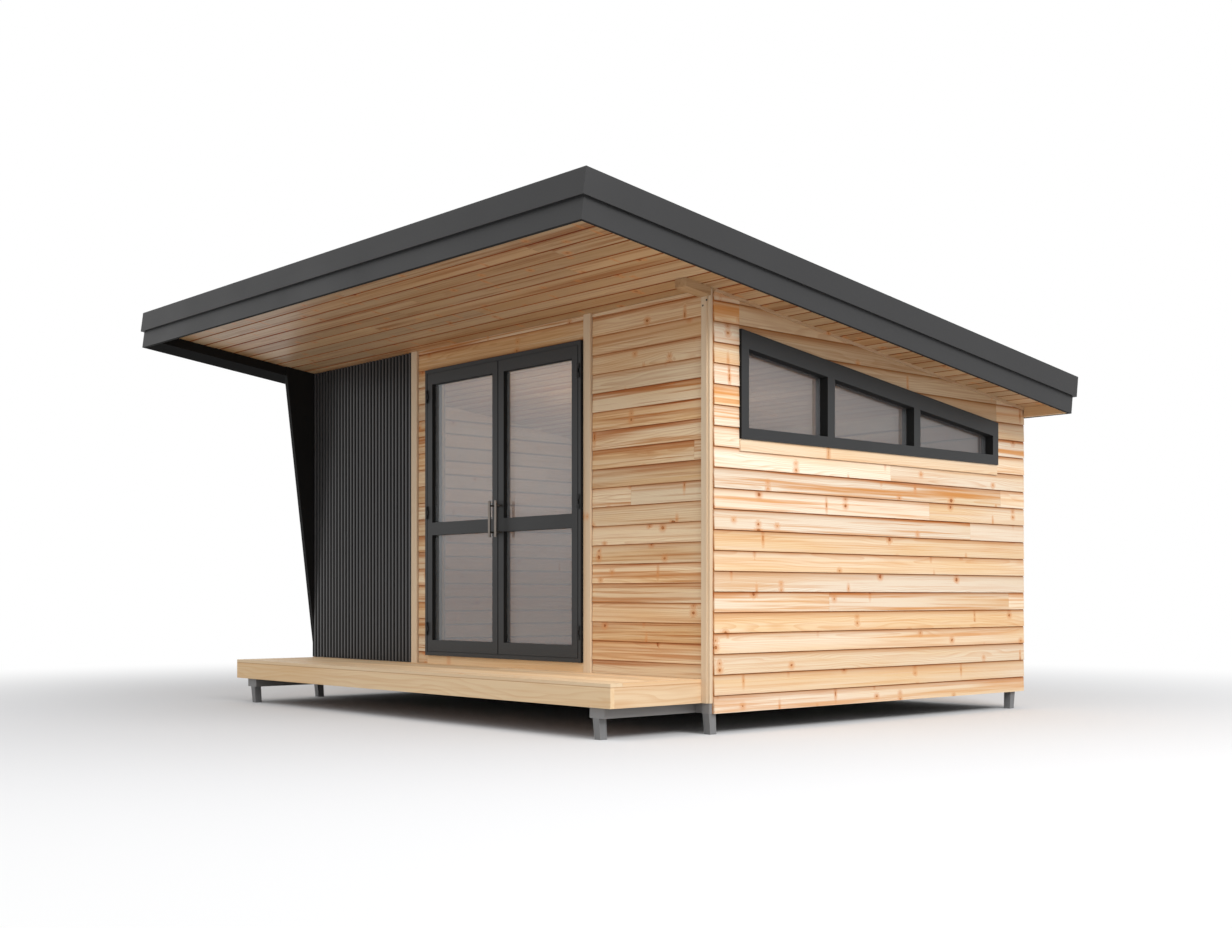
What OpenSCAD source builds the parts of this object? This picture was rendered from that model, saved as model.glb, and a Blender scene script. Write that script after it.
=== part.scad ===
// Garden shed with a tilted flat roof, a front deck, a glazed double door and a long side window.
// Millimetres, +Z up, the front faces -Y. The origin is on the ground under the middle of the roof.
// Places are counted from the front left corner of the siding, and place() moves them to the origin.

/* [Building] */
// Length of the front, from siding face to siding face
body_w = 4500; // [3800:10:5600]
// Depth of the side walls, from siding face to siding face
body_d = 3200; // [3000:10:4000]
// Height of the soffit above the ground, at the face of the front wall
soffit_h = 2586; // [2540:2:3200]
// Height of the floor and of the deck above the ground
floor_h = 320; // [280:2:420]
// Thickness of a wall without its siding
wall_t = 120; // [90:5:180]
// Room left outside each wall for the lapped siding
siding_t = 22; // [16:1:30]

/* [Roof] */
// Fall of the roof towards the back, in degrees
slope = 7.6; // [4:0.1:9.2]
// Roof in front of the front wall, along the slope
front_run = 1325; // [900:5:1600]
// Roof beyond the left siding
left_overhang = 296; // [200:2:400]
// Roof beyond the right siding
right_overhang = 386; // [200:2:600]
// Height of the lower band of the fascia
band_h = 122; // [90:2:160]
// Height of the roof cap above that band
cap_h = 144; // [110:2:200]
// How far the cap stands proud of the lower band
cap_proud = 20; // [10:1:40]
// Thickness of the fascia boards
fascia_t = 22; // [18:1:30]
// How far the soffit lies above the lower edge of the fascia
soffit_recess = 68; // [40:2:90]
// Thickness of the soffit boards
soffit_t = 20; // [15:1:30]
// Distance between the standing seams of the roof sheet
seam_pitch = 430; // [300:10:600]

/* [Base] */
// Height of the steel legs
leg_h = 121; // [80:2:180]
// Width of a leg at its top
leg_w = 54; // [46:1:80]
// Width of a leg at the ground
leg_foot_w = 50; // [40:1:80]
// Height of the steel beams
beam_h = 60; // [40:1:90]
// Width of the steel beams
beam_w = 60; // [50:1:80]
// Width of the flat steel beams under the deck
deck_beam_w = 125; // [60:1:150]
// How far the foot of a leg leans in, towards the middle of the side wall
leg_lean = 10; // [0:1:20]
// Distance from the back wall to the middle of the back legs
back_leg_inset = 110; // [60:5:300]

/* [Deck] */
// Depth of the deck in front of the siding
deck_d = 714; // [500:2:1000]
// Distance from the left siding to the left end of the deck
deck_left = 105; // [60:5:300]
// Thickness of the deck boards
deck_board_t = 24; // [20:1:35]
// Thickness of the boards of the deck rim
rim_t = 30; // [20:1:45]
// Thickness of a deck joist
joist_t = 45; // [35:1:60]
// Largest distance between deck joists
joist_pitch = 620; // [400:10:700]
// Distance from the left end of the deck to its left steel beam
deck_beam_left = 135; // [50:5:300]
// Distance from the right end of the deck to its right steel beam
deck_beam_right = 75; // [50:5:300]
// Distance from the middle of a deck beam to its leg, towards the middle of the deck
deck_leg_shift = 10; // [0:1:30]
// Distance from the front of the deck to the front of those beams
deck_beam_front = 22; // [10:1:120]

/* [Front wall] */
// Distance from the left siding to the door unit
door_left = 1630; // [1320:5:1740]
// Width of the door unit
door_w = 1730; // [1440:2:2110]
// Height of the door unit
door_h = 2047; // [1950:1:2060]
// Height of the timber sill under the door unit
sill_h = 60; // [30:1:80]
// How far that sill stands proud of the siding
sill_proud = 6; // [2:1:20]
// Width of the trim board right of the door
trim_right_w = 67; // [50:1:100]
// Width of the trim board left of the door
trim_left_w = 70; // [60:1:120]
// Gap between the door unit and the trim board right of it
trim_right_gap = 6; // [2:1:20]
// Width of the siding between the door unit and the trim board left of it
siding_strip_w = 133; // [40:1:150]
// Width of the corner post
post_w = 63; // [45:1:110]
// Distance from the right siding face to the corner post
post_set = 17; // [4:1:20]
// Width of the rebate along the outer corner of the post
post_rebate_w = 18; // [8:1:30]
// Depth of that rebate
post_rebate_d = 7; // [3:1:14]
// How far posts and trim boards stand proud of the siding
trim_proud = 10; // [2:1:20]

/* [Ribbed panel] */
// Largest distance between two ribs
rib_pitch = 45; // [36:1:70]
// Width of a rib at its crest
rib_crest = 17; // [10:1:24]
// Width of a rib at its root
rib_root = 29; // [20:1:34]
// Depth of a rib
rib_d = 18; // [8:1:30]
// How far the crests stand proud of the siding
rib_proud = 12; // [4:1:30]

/* [Left wing] */
// How far the wing stands proud of the left siding
wing_proud = 4; // [2:1:20]
// Thickness of the wing in front of the building
wing_t = 40; // [30:1:60]
// Reach of the wing in front of the siding, at its top
wing_reach = 248; // [120:5:400]
// Height above the floor at which the wing begins to lean out
wing_foot = 110; // [50:2:300]
// Distance from the siding face back to the front edge of the wing below that height
wing_toe = 5; // [0:1:5]
// Length of the part of the wing that wraps the left corner
wing_wrap = 68; // [40:1:120]

/* [Door] */
// Width of the door frame bars
jamb_w = 24; // [20:1:50]
// Depth of the door frame
jamb_d = 120; // [95:1:140]
// Width of the stop behind the leaves
stop_w = 15; // [12:1:20]
// How far the door unit stands proud of the siding
door_proud = 27; // [4:1:40]
// Depth of the bead behind the glass of a leaf
leaf_bead = 4; // [3:1:10]
// Width of a stile
stile_w = 58; // [50:1:90]
// Height of a top rail
top_rail_h = 77; // [60:1:100]
// Height of a middle rail
mid_rail_h = 90; // [70:1:120]
// Height of a bottom rail
bottom_rail_h = 79; // [60:1:140]
// Height of the middle of the middle rail above the bottom of the door unit
mid_rail_at = 905; // [800:5:1100]
// Gap between a leaf and the frame
leaf_gap = 7; // [6:0.5:10]
// Gap between the two leaves
meeting_gap = 10.5; // [10:0.5:14]
// Gap between the back of a leaf and its stop
stop_gap = 6; // [5:0.5:10]
// How far the glass lies behind the face of a leaf
leaf_glass_recess = 30; // [10:1:36]
// Thickness of the glass in the doors and the window
glass_t = 20; // [16:1:22]
// Diameter of a hinge knuckle
knuckle_d = 14; // [12:1:20]
// Height of one hinge
hinge_h = 90; // [60:2:120]
// Distance from the end of a leaf to its outer hinges
hinge_end = 160; // [120:5:260]
// Width of a hinge plate on the leaf or the frame
hinge_plate_w = 12; // [8:1:20]
// Play between the knuckles of a hinge
knuckle_play = 0.3; // [0.2:0.1:0.6]

/* [Handles] */
// Diameter of a handle bar
handle_d = 20; // [12:1:26]
// Length of a handle bar
handle_l = 246; // [160:2:400]
// Distance between the two feet of a handle
handle_feet = 180; // [100:2:300]
// Diameter of a handle foot
handle_foot_d = 13; // [8:1:18]
// Free room behind the bar
handle_room = 36; // [30:1:60]
// Height of the middle of a handle above the bottom of the door unit
handle_at = 945; // [850:5:1100]

/* [Side window] */
// Distance from the front siding to the window
window_y = 232; // [200:2:260]
// Length of the window
window_l = 2620; // [2150:2:2640]
// Height of the lower edge of the window above the ground
window_z = 1728; // [1600:2:1760]
// Distance from the soffit down to the window
window_drop = 181; // [140:1:190]
// Depth of the window frame
window_d = 100; // [90:1:120]
// How far the window frame stands proud of the siding
window_proud = 14; // [4:1:25]
// Width of the two end bars
window_end_w = 64; // [50:1:90]
// Height of the lower bar
window_low_h = 67; // [50:1:90]
// Height of the sloping upper bar
window_head_h = 104; // [60:1:105]
// Width of the two posts between the panes
window_post_w = 68; // [50:1:90]
// Distance from the front siding to the middle of the first post
window_post_1 = 1043; // [900:2:1200]
// Distance from the front siding to the middle of the second post
window_post_2 = 1919; // [1800:2:2100]
// How far the glass lies behind the face of the frame
window_glass_recess = 64; // [20:1:66]
// Height of the timber apron under the window
apron_h = 70; // [50:1:100]
// How far the apron stands proud of the siding
apron_proud = 5; // [2:1:12]
// Height of the strip that covers the joint between the right wall and the soffit
frieze_h = 16; // [10:1:60]
// How far that strip stands proud of the siding
frieze_proud = 6; // [2:1:12]

/* [Beam end] */
// Width of the beam end over the corner post
tail_w = 90; // [60:1:120]
// Reach of the beam end in front of the post
tail_reach = 200; // [100:5:300]
// Depth of the beam end under the soffit
tail_h = 48; // [30:1:100]

/* [Hidden] */
$fn = 32;

// Gap between a wall and a frame that is set into it
fit = 3;
// Gap between a sloping face and the pieces that seat against it
seat_gap = 0.2;

// Faces of the wall cores
core_x0 = siding_t;
core_x1 = body_w - siding_t;
core_y0 = siding_t;
core_y1 = body_d - siding_t;
room_x0 = core_x0 + wall_t;
room_x1 = core_x1 - wall_t;
room_y0 = core_y0 + wall_t;
room_y1 = core_y1 - wall_t;

// Heights of the base
platform_z = leg_h + beam_h;

// Roof levels, square to the slope, counted from the soffit
band_low = -soffit_recess;
cap_low = band_low + band_h;
roof_top = cap_low + cap_h;
cap_flange_t = 10;
cap_flange_w = 90;
fascia_top = roof_top - cap_flange_t;
core_top = roof_top - 48;
sheet_t = 4;
seam_h = 22;
seam_w = 8;

// Roof edges in plan, along the slope
back_run = (body_d + soffit_recess * sin(slope)) / cos(slope) + fascia_t + cap_proud;
cap_box = [-left_overhang, -front_run, body_w + right_overhang, back_run];
fascia_box = inset(cap_box, cap_proud);
inner_box = inset(fascia_box, fascia_t);

// Middle of the whole part, on which the origin lies
front_edge = min(
    -front_run * cos(slope) + cap_low * sin(slope),
    (cap_proud - front_run) * cos(slope) + band_low * sin(slope)
);
back_edge = back_run * cos(slope) + roof_top * sin(slope);
mid_x = (cap_box[0] + cap_box[2]) / 2;
mid_y = (front_edge + back_edge) / 2;

// Corner post and deck
deck_x0 = deck_left;
post_x1 = body_w - post_set;
post_x0 = post_x1 - post_w;
deck_x1 = post_x0;
deck_under = floor_h - deck_board_t;

// Door unit
leaf_t = leaf_glass_recess + glass_t + leaf_bead;
door_x0 = door_left;
door_x1 = door_left + door_w;
door_z0 = floor_h + sill_h;
door_z1 = door_z0 + door_h;
door_y0 = -door_proud;
leaf_z0 = door_z0 + jamb_w + leaf_gap;
leaf_z1 = door_z1 - jamb_w - leaf_gap;
leaf_w = (door_w - 2 * jamb_w - 2 * leaf_gap - meeting_gap) / 2;
left_leaf_x = door_x0 + jamb_w + leaf_gap;
right_leaf_x = door_x1 - jamb_w - leaf_gap - leaf_w;
mid_rail_z = door_z0 + mid_rail_at - mid_rail_h / 2;
stop_y = door_y0 + leaf_t + stop_gap;

// Hinge axes, in the middle of the side gaps and level with the door face
left_hinge_x = door_x0 + jamb_w + leaf_gap / 2;
right_hinge_x = door_x1 - jamb_w - leaf_gap / 2;
knuckle_y = door_y0 - knuckle_d / 2 - 1;
hinge_z = [leaf_z0 + hinge_end, (leaf_z0 + leaf_z1) / 2, leaf_z1 - hinge_end];

// Side window
window_y1 = window_y + window_l;
window_x1 = body_w + window_proud;
window_x0 = window_x1 - window_d;
pane_low = window_z + window_low_h;

// Left wing
wing_x0 = -wing_proud;
wing_x1 = wing_t - wing_proud;
wing_back = core_y0 + wing_wrap;

// Height of the soffit plane above the ground at a distance y behind the front siding
function soffit_z(y) = soffit_h - y * tan(slope);

// Height, at y, of a plane that lies a distance square to the slope above the soffit
function slope_z(y, lift) = soffit_z(y) + lift / cos(slope);

// Height, at y, of a piece that seats against a face that lies a given drop below the soffit
function seat_z(y, drop = 0) = soffit_z(y) - drop - seat_gap;

// A plan box [x0, y0, x1, y1] made smaller on all sides
function inset(b, d) = [b[0] + d, b[1] + d, b[2] - d, b[3] - d];

// Places counted from the corner of the building, moved to the origin of the part
module place() {
    translate([-mid_x, -mid_y, 0]) children();
}

// Places on the roof: y runs down the slope and z stands square to it, from the soffit
module on_slope() {
    place() translate([0, 0, soffit_h]) rotate([-slope, 0, 0]) children();
}

// A box between two corners
module box(a, b) {
    translate(a) cube([b[0] - a[0], b[1] - a[1], b[2] - a[2]]);
}

// A solid with an outline of [y, z] points, from x0 to x1
module across(x0, x1, points) {
    translate([x0, 0, 0]) rotate([90, 0, 90]) linear_extrude(x1 - x0) polygon(points);
}

// A piece that stands on z0 and seats against the slope of the soffit, or of a face below it
module under_roof(x0, x1, y0, y1, z0, drop = 0) {
    across(x0, x1, [
        [y0, z0],
        [y1, z0],
        [y1, seat_z(y1, drop)],
        [y0, seat_z(y0, drop)]
    ]);
}

// One mitred side of a frame of boards, between the plan boxes a and b. Sides: 0 front, 1 right, 2 back, 3 left
module mitred(a, b, side, z0, z1) {
    outer = [[a[0], a[1]], [a[2], a[1]], [a[2], a[3]], [a[0], a[3]]];
    inner = [[b[0], b[1]], [b[2], b[1]], [b[2], b[3]], [b[0], b[3]]];
    next = (side + 1) % 4;
    translate([0, 0, z0]) linear_extrude(z1 - z0)
        polygon([outer[side], outer[next], inner[next], inner[side]]);
}

// Outline of a leg that narrows towards the ground, with its foot moved by lean
function leg_side(lean) = [
    [lean - leg_foot_w / 2, 0],
    [lean + leg_foot_w / 2, 0],
    [leg_w / 2, leg_h],
    [-leg_w / 2, leg_h]
];

// A steel leg with the middle of its top at x, y, and its foot leaning along Y
module leg(x, y, lean) {
    reach = leg_w / 2 + abs(lean);
    translate([x, y, 0]) intersection() {
        translate([-leg_w / 2, 0, 0]) rotate([90, 0, 90]) linear_extrude(leg_w) polygon(leg_side(lean));
        translate([0, reach, 0]) rotate([90, 0, 0]) linear_extrude(2 * reach) polygon(leg_side(0));
    }
}

// Middles of the legs, and of the steel beams of the deck
deck_beam_x = [deck_x0 + deck_beam_left + deck_beam_w / 2, deck_x1 - deck_beam_right - deck_beam_w / 2];
side_beam_x = [core_x0 + beam_w / 2, core_x1 - beam_w / 2];
deck_leg_y = -deck_d + deck_beam_front + leg_w / 2;
front_leg_y = leg_w / 2;
back_leg_y = body_d - back_leg_inset;

module legs() {
    color("dimgray") place() {
        leg(deck_beam_x[0] + deck_leg_shift, deck_leg_y, leg_lean);
        leg(deck_beam_x[1] - deck_leg_shift, deck_leg_y, leg_lean);
        for (x = side_beam_x) {
            leg(x, front_leg_y, leg_lean);
            leg(x, back_leg_y, -leg_lean);
        }
    }
}

// The side beams start level with the front siding
module side_beams() {
    color("dimgray") place() for (x = side_beam_x)
        box([x - beam_w / 2, 0, leg_h], [x + beam_w / 2, core_y1, platform_z]);
}

module cross_beams() {
    x0 = core_x0 + beam_w;
    x1 = core_x1 - beam_w;
    color("dimgray") place() for (y = [core_y0, (core_y0 + core_y1 - beam_w) / 2, core_y1 - beam_w])
        box([x0, y, leg_h], [x1, y + beam_w, platform_z]);
}

module deck_beams() {
    color("dimgray") place() for (x = deck_beam_x)
        box(
            [x - deck_beam_w / 2, deck_beam_front - deck_d, leg_h],
            [x + deck_beam_w / 2, core_y0, platform_z]
        );
}

module floor() {
    color("tan") place() box([core_x0, core_y0, platform_z], [core_x1, core_y1, floor_h]);
}

module deck_boards() {
    color("burlywood") place() box([deck_x0, -deck_d, deck_under], [deck_x1, core_y0, floor_h]);
}

module deck_rim_front() {
    color("burlywood") place() box([deck_x0, -deck_d, platform_z], [deck_x1, rim_t - deck_d, deck_under]);
}

module deck_rim_ends() {
    color("burlywood") place() for (x = [deck_x0, deck_x1 - rim_t])
        box([x, rim_t - deck_d, platform_z], [x + rim_t, core_y0, deck_under]);
}

module deck_joists() {
    gaps = ceil((deck_x1 - deck_x0 - rim_t) / joist_pitch);
    step = (deck_x1 - deck_x0 - rim_t) / gaps;
    color("tan") place() for (i = [1 : gaps - 1]) {
        x = deck_x0 + rim_t / 2 + i * step;
        box([x - joist_t / 2, rim_t - deck_d, platform_z], [x + joist_t / 2, core_y0, deck_under]);
    }
}

module front_wall_left() {
    color("peru") place() under_roof(core_x0, door_x0 - fit, core_y0, room_y0, floor_h);
}

module front_wall_right() {
    color("peru") place() under_roof(door_x1 + fit, core_x1, core_y0, room_y0, floor_h);
}

module door_header() {
    color("peru") place() under_roof(door_x0 - fit, door_x1 + fit, core_y0, room_y0, door_z1 + fit);
}

module left_wall() {
    color("peru") place() under_roof(core_x0, room_x0, room_y0, room_y1, floor_h);
}

module back_wall() {
    color("peru") place() under_roof(core_x0, core_x1, room_y1, core_y1, floor_h);
}

module right_wall_lower() {
    color("peru") place() box([room_x1, room_y0, floor_h], [core_x1, room_y1, window_z - fit]);
}

module right_wall_piers() {
    color("peru") place() {
        under_roof(room_x1, core_x1, room_y0, window_y - fit, window_z - fit);
        under_roof(room_x1, core_x1, window_y1 + fit, room_y1, window_z - fit);
    }
}

module right_wall_header() {
    y0 = window_y - fit;
    y1 = window_y1 + fit;
    gap = window_drop - fit;
    color("peru") place() across(room_x1, core_x1, [
        [y0, soffit_z(y0) - gap],
        [y1, soffit_z(y1) - gap],
        [y1, seat_z(y1)],
        [y0, seat_z(y0)]
    ]);
}

module door_sill() {
    color("burlywood") place() box([door_x0, -sill_proud, floor_h], [door_x1, room_y0, door_z0]);
}

// A post in front of the front right corner, with a rebate along its outer edge
module corner_post() {
    step_x = post_x1 - post_rebate_w;
    color("burlywood") place() {
        under_roof(post_x0, step_x, -trim_proud, core_y0, platform_z);
        under_roof(step_x, post_x1, post_rebate_d - trim_proud, core_y0, platform_z);
    }
}

module trim_board(x, w) {
    place() under_roof(x, x + w, -trim_proud, core_y0, floor_h);
}

panel_x1 = door_x0 - siding_strip_w - trim_left_w;

module door_trim_left() {
    color("burlywood") trim_board(panel_x1, trim_left_w);
}

module door_trim_right() {
    color("burlywood") trim_board(door_x1 + trim_right_gap, trim_right_w);
}

// Upright ribs on a thin back, cut off under the sloping soffit
module ribbed_panel() {
    w = panel_x1 - wing_x1;
    count = ceil(w / rib_pitch);
    step = w / count;
    root_y = rib_d - rib_proud;
    crest_y = -rib_proud;
    ribs = [for (i = [0 : count - 1])
        let (x = wing_x1 + (i + 0.5) * step)
        each [
            [x - rib_root / 2, root_y],
            [x - rib_crest / 2, crest_y],
            [x + rib_crest / 2, crest_y],
            [x + rib_root / 2, root_y]
        ]
    ];
    outline = concat(
        [[wing_x1, core_y0], [wing_x1, root_y]],
        ribs,
        [[panel_x1, root_y], [panel_x1, core_y0]]
    );
    color("#333333") place() translate([0, 0, floor_h])
        linear_extrude(seat_z(core_y0) - floor_h) polygon(outline);
}

// The wing leans out in front of the building and wraps the left corner.
// Its outer part ends under the boxed edge of the roof, its inner part goes on up to the soffit.
module left_wing() {
    foot_z = floor_h + wing_foot;
    lift = band_low - seat_gap;
    top_z = slope_z(-wing_reach, lift);
    lean = (wing_toe + wing_reach) / (top_z - foot_z);
    rise = soffit_h - seat_gap - foot_z;
    front_y = (wing_toe - lean * rise) / (1 - lean * tan(slope));
    color("#222222") place() {
        across(wing_x0, core_x0, [
            [wing_back, floor_h],
            [wing_back, slope_z(wing_back, lift)],
            [-wing_reach, top_z],
            [wing_toe, foot_z],
            [wing_toe, floor_h]
        ]);
        across(core_x0, wing_x1, [
            [core_y0, floor_h],
            [core_y0, seat_z(core_y0)],
            [front_y, seat_z(front_y)],
            [wing_toe, foot_z],
            [wing_toe, floor_h]
        ]);
    }
}

// A strip over the joint between the right siding and the soffit
module frieze_board() {
    y0 = core_y0;
    y1 = body_d;
    color("burlywood") place() across(core_x1, body_w + frieze_proud, [
        [y0, soffit_z(y0) - frieze_h],
        [y1, soffit_z(y1) - frieze_h],
        [y1, seat_z(y1)],
        [y0, seat_z(y0)]
    ]);
}

module window_apron() {
    color("burlywood") place()
        box([core_x1, window_y, window_z - apron_h], [body_w + apron_proud, window_y1, window_z]);
}

module beam_end() {
    y0 = -tail_reach - trim_proud;
    color("burlywood") place() across(body_w - tail_w, body_w, [
        [y0, soffit_z(y0) - tail_h],
        [-trim_proud, soffit_z(-trim_proud) - tail_h],
        [-trim_proud, seat_z(-trim_proud)],
        [y0, seat_z(y0)]
    ]);
}

// Upright of the window between its two rails, from y0 to y1
module window_upright(x0, x1, y0, y1) {
    under_roof(x0, x1, y0, y1, pane_low, window_drop + window_head_h);
}

module window_rails() {
    y0 = window_y;
    y1 = window_y1;
    low = window_drop + window_head_h;
    color("#333537") place() {
        box([window_x0, y0, window_z], [window_x1, y1, pane_low]);
        across(window_x0, window_x1, [
            [y0, soffit_z(y0) - low],
            [y1, soffit_z(y1) - low],
            [y1, soffit_z(y1) - window_drop],
            [y0, soffit_z(y0) - window_drop]
        ]);
    }
}

// Free lengths between the uprights of the window
panes = [
    [window_y + window_end_w, window_post_1 - window_post_w / 2],
    [window_post_1 + window_post_w / 2, window_post_2 - window_post_w / 2],
    [window_post_2 + window_post_w / 2, window_y1 - window_end_w]
];

module window_posts() {
    ends = concat([window_y], [for (p = panes) each p], [window_y1]);
    color("#333537") place() for (i = [0 : 3])
        window_upright(window_x0, window_x1, ends[2 * i], ends[2 * i + 1]);
}

module window_glass() {
    x1 = window_x1 - window_glass_recess;
    color("silver", 0.5) place() for (p = panes)
        window_upright(x1 - glass_t, x1, p[0], p[1]);
}

// A jamb from its outer side at x towards the opening, with its stop between head and threshold
module jamb(x, dir) {
    back = door_y0 + jamb_d;
    inner = x + dir * jamb_w;
    stop = inner + dir * stop_w;
    box([min(x, inner), door_y0, door_z0], [max(x, inner), back, door_z1]);
    box([min(inner, stop), stop_y, door_z0 + jamb_w], [max(inner, stop), back, door_z1 - jamb_w]);
}

module door_frame_jambs() {
    color("#333537") place() {
        jamb(door_x0, 1);
        jamb(door_x1, -1);
    }
}

// Head or threshold between the jambs: z is its outer side and dir points into the opening
module crossbar(z, dir) {
    x0 = door_x0 + jamb_w;
    x1 = door_x1 - jamb_w;
    back = door_y0 + jamb_d;
    inner = z + dir * jamb_w;
    stop = inner + dir * stop_w;
    across(x0, x1, [[door_y0, z], [back, z], [back, inner], [door_y0, inner]]);
    across(x0 + stop_w, x1 - stop_w, [[stop_y, inner], [back, inner], [back, stop], [stop_y, stop]]);
}

module door_frame_head() {
    color("#333537") place() crossbar(door_z1, -1);
}

module door_frame_threshold() {
    color("#333537") place() crossbar(door_z0, 1);
}

// One part of the knuckle of a hinge on the axis at x, with its plate towards dir
module knuckle(x, dir, z0, z1) {
    far = x + dir * (leaf_gap / 2 + hinge_plate_w);
    translate([x, knuckle_y, z0]) cylinder(d = knuckle_d, h = z1 - z0);
    box([min(x, far), knuckle_y, z0], [max(x, far), door_y0, z1]);
}

// The outer knuckles of each hinge belong to the frame
module frame_hinges() {
    color("#333537") place() for (z = hinge_z, side = [[left_hinge_x, -1], [right_hinge_x, 1]]) {
        knuckle(side[0], side[1], z - hinge_h / 2, z - hinge_h / 6 - knuckle_play);
        knuckle(side[0], side[1], z + hinge_h / 6 + knuckle_play, z + hinge_h / 2);
    }
}

// Stiles of the leaf whose left side is at x, with the inner knuckles on the hinge side
module leaf_stiles(x, hinge_x, hinge_dir) {
    for (s = [x, x + leaf_w - stile_w])
        box([s, door_y0, leaf_z0], [s + stile_w, door_y0 + leaf_t, leaf_z1]);
    for (z = hinge_z)
        knuckle(hinge_x, hinge_dir, z - hinge_h / 6, z + hinge_h / 6);
}

module leaf_rails(x) {
    x0 = x + stile_w;
    x1 = x + leaf_w - stile_w;
    for (r = [[leaf_z0, bottom_rail_h], [mid_rail_z, mid_rail_h], [leaf_z1 - top_rail_h, top_rail_h]])
        box([x0, door_y0, r[0]], [x1, door_y0 + leaf_t, r[0] + r[1]]);
}

module leaf_glass(x) {
    x0 = x + stile_w;
    x1 = x + leaf_w - stile_w;
    y0 = door_y0 + leaf_glass_recess;
    box([x0, y0, leaf_z0 + bottom_rail_h], [x1, y0 + glass_t, mid_rail_z]);
    box([x0, y0, mid_rail_z + mid_rail_h], [x1, y0 + glass_t, leaf_z1 - top_rail_h]);
}

// Upright bar on two feet, with its middle over x
module handle(x) {
    bar_y = door_y0 - handle_room - handle_d / 2;
    z = door_z0 + handle_at;
    translate([x, bar_y, z - handle_l / 2]) cylinder(d = handle_d, h = handle_l);
    for (s = [-1, 1]) translate([x, door_y0, z + s * handle_feet / 2]) rotate([90, 0, 0])
        cylinder(d = handle_foot_d, h = handle_room + handle_d / 2);
}

module left_leaf_stiles() {
    color("#333537") place() leaf_stiles(left_leaf_x, left_hinge_x, 1);
}

module left_leaf_rails() {
    color("#333537") place() leaf_rails(left_leaf_x);
}

module left_leaf_glass() {
    color("silver", 0.5) place() leaf_glass(left_leaf_x);
}

module left_handle() {
    color("silver") place() handle(left_leaf_x + leaf_w - stile_w / 2);
}

module right_leaf_stiles() {
    color("#333537") place() leaf_stiles(right_leaf_x, right_hinge_x, -1);
}

module right_leaf_rails() {
    color("#333537") place() leaf_rails(right_leaf_x);
}

module right_leaf_glass() {
    color("silver", 0.5) place() leaf_glass(right_leaf_x);
}

module right_handle() {
    color("silver") place() handle(right_leaf_x + stile_w / 2);
}

module soffit() {
    color("sandybrown") on_slope()
        box([inner_box[0], inner_box[1], 0], [inner_box[2], inner_box[3], soffit_t]);
}

module roof_core() {
    color("tan") on_slope()
        box([inner_box[0], inner_box[1], soffit_t], [inner_box[2], inner_box[3], core_top]);
}

module roof_sheet() {
    w = inner_box[2] - inner_box[0];
    count = round(w / seam_pitch);
    step = w / count;
    color("#3a3a3c") on_slope() {
        box([inner_box[0], inner_box[1], core_top], [inner_box[2], inner_box[3], core_top + sheet_t]);
        for (i = [1 : count - 1]) {
            x = inner_box[0] + i * step - seam_w / 2;
            box([x, inner_box[1], core_top], [x + seam_w, inner_box[3], core_top + seam_h]);
        }
    }
}

module fascia(side) {
    on_slope() mitred(fascia_box, inner_box, side, band_low, fascia_top);
}

// A cap is a face board in front of the fascia and a flat flange over its top
module cap(side) {
    on_slope() {
        mitred(cap_box, fascia_box, side, cap_low, roof_top);
        mitred(cap_box, inset(cap_box, cap_flange_w), side, fascia_top, roof_top);
    }
}

module fascia_front() { color("#4c4c4c") fascia(0); }
module fascia_right() { color("#4c4c4c") fascia(1); }
module fascia_back() { color("#4c4c4c") fascia(2); }
module fascia_left() { color("#4c4c4c") fascia(3); }
module cap_front() { color("#4a4a4a") cap(0); }
module cap_right() { color("#4a4a4a") cap(1); }
module cap_back() { color("#4a4a4a") cap(2); }
module cap_left() { color("#4a4a4a") cap(3); }

// The overhang on the left is boxed in down to the lower edge of the fascia
module left_verge() {
    color("#222222") on_slope()
        box([inner_box[0], inner_box[1], band_low], [core_x0, inner_box[3], 0]);
}

// A board closes the back end of the right overhang
module soffit_end_board() {
    color("burlywood") on_slope()
        box([body_w + frieze_proud, inner_box[3] - fascia_t, band_low], [inner_box[2], inner_box[3], 0]);
}

legs();
side_beams();
cross_beams();
deck_beams();
floor();
deck_boards();
deck_rim_front();
deck_rim_ends();
deck_joists();
front_wall_left();
front_wall_right();
door_header();
left_wall();
back_wall();
right_wall_lower();
right_wall_piers();
right_wall_header();
door_sill();
corner_post();
door_trim_left();
door_trim_right();
ribbed_panel();
left_wing();
frieze_board();
window_apron();
beam_end();
window_rails();
window_posts();
window_glass();
door_frame_jambs();
door_frame_head();
door_frame_threshold();
frame_hinges();
left_leaf_stiles();
left_leaf_rails();
left_leaf_glass();
left_handle();
right_leaf_stiles();
right_leaf_rails();
right_leaf_glass();
right_handle();
soffit();
roof_core();
roof_sheet();
fascia_front();
fascia_back();
fascia_left();
fascia_right();
cap_front();
cap_back();
cap_left();
cap_right();
left_verge();
soffit_end_board();
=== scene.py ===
"""Looks of the garden shed: boards, finishes, floor, light and camera round the frame. Metres, +Z up."""
import math
import random

import bmesh
import bpy
from mathutils import Matrix, Vector


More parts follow.
